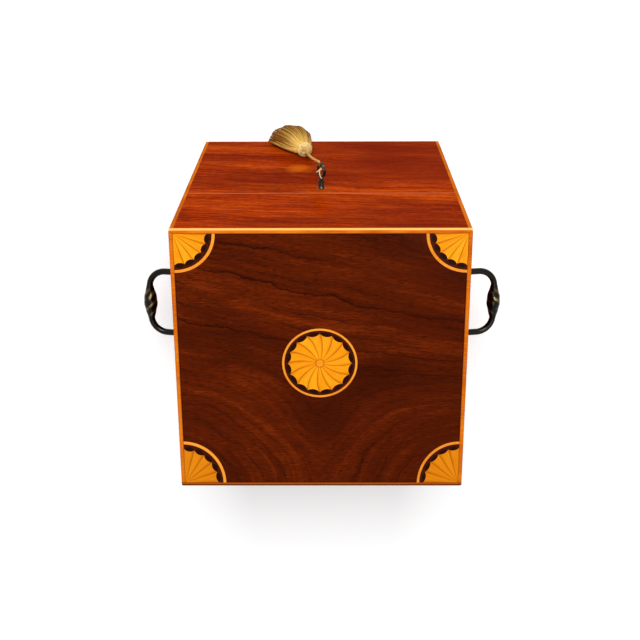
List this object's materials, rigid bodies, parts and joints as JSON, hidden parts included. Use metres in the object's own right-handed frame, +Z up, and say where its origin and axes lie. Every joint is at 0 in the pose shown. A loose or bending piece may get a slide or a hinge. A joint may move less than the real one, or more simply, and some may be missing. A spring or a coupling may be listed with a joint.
{
  "type": "decanter box",
  "caption": "Square inlaid decanter box with a deep hinged lid, side carrying handles, and a key with a gold silk tassel in its front lock.",
  "frame": {"origin": "middle of the case's base, on the underside of its baize, where it stands", "axes": "+Z up through the lid, -Y out through the keyhole face, +X to the right seen from the front"},
  "size_m": [0.3286, 0.2565, 0.2892],
  "materials": {
    "mahogany": "french polished, reddish, straight grain",
    "flame_veneer": "french polished, dark wavy figure",
    "boxwood": "polished, honey yellow",
    "satinwood": "polished, shaded at one edge",
    "ebony": "polished, near black",
    "carcase_wood": "plain, matt",
    "baize": "napped woollen cloth",
    "brass": "worn, satin",
    "bronzed_metal": "dark bronzed, rubbed to gold on the ridges",
    "key_steel": "dark, polished by handling",
    "silk": "twisted and loose gold silk"
  },
  "bodies": {
    "case": {"base_baize": "baize", "case_bottom": "carcase_wood", "case_front": "mahogany", "case_back": "mahogany", "case_left": "mahogany", "case_right": "mahogany", "case_corner_strings": "boxwood", "case_lining": "baize", "long_divider": "carcase_wood", "cross_divider": "carcase_wood", "lock_plate": "brass", "lock_screws": "brass", "lock_cap": "brass", "lock_pin": "key_steel", "lock_spring": "key_steel", "keyhole_escutcheon": "brass", "left_hinge_case_leaf": "brass", "right_hinge_case_leaf": "brass", "left_hinge_pin": "key_steel", "right_hinge_pin": "key_steel", "case_hinge_screws": "brass", "left_bail_posts": "bronzed_metal", "right_bail_posts": "bronzed_metal", "left_bail_nuts": "brass", "right_bail_nuts": "brass"},
    "lid": {"lid_front": "mahogany", "lid_back": "mahogany", "lid_left": "mahogany", "lid_right": "mahogany", "lid_top": "carcase_wood", "lid_corner_strings": "boxwood", "lid_top_strings": "boxwood", "lid_veneer": "flame_veneer", "patera_ring": "boxwood", "patera_ground": "ebony", "patera_petals": "satinwood", "patera_boss": "satinwood", "fan_rings": "boxwood", "fan_grounds": "ebony", "fan_petals": "satinwood", "lid_lining": "baize", "link_plate": "brass", "link_plate_screws": "brass", "left_hinge_lid_leaf": "brass", "right_hinge_lid_leaf": "brass", "lid_hinge_screws": "brass"},
    "lock_bolt": {"lock_bolt": "brass"},
    "key": {"key": "key_steel", "key_cord_loop": "silk"},
    "tassel": {"tassel_cord": "silk", "tassel_head": "silk", "tassel_skirt": "silk"},
    "right_bail": {"right_bail": "bronzed_metal"},
    "left_bail": {"left_bail": "bronzed_metal"}
  },
  "joints": [
    {"name": "lid_hinge", "type": "hinge", "parent": "case", "child": "lid", "pos_m": [0, 0.1166, 0.1888], "axis": [-1, 0, 0], "range_deg": [0, 95]},
    {"name": "key_turn", "type": "hinge", "parent": "case", "child": "key", "pos_m": [0, -0.1137, 0.1728], "axis": [0, -1, 0], "range_deg": [-30, 330]},
    {"name": "bolt_slide", "type": "slide", "parent": "case", "child": "lock_bolt", "axis": [-1, 0, 0], "range_m": [-0.0005, 0.0055]},
    {"name": "right_bail_swing", "type": "hinge", "parent": "case", "child": "right_bail", "pos_m": [0.1262, 0, 0.1576], "axis": [0, 1, 0], "range_deg": [-99, 81]},
    {"name": "left_bail_swing", "type": "hinge", "parent": "case", "child": "left_bail", "pos_m": [-0.1262, 0, 0.1576], "axis": [0, -1, 0], "range_deg": [-99, 81]},
    {"name": "tassel_swing", "type": "hinge", "parent": "case", "child": "tassel", "pos_m": [0, -0.1376, 0.1728], "axis": [0, 1, 0], "range_deg": [-49, 71]}
  ],
  "couplings": [
    {"joint": "key_turn", "follows": "bolt_slide", "rad_per_m": 1047.2}
  ]
}
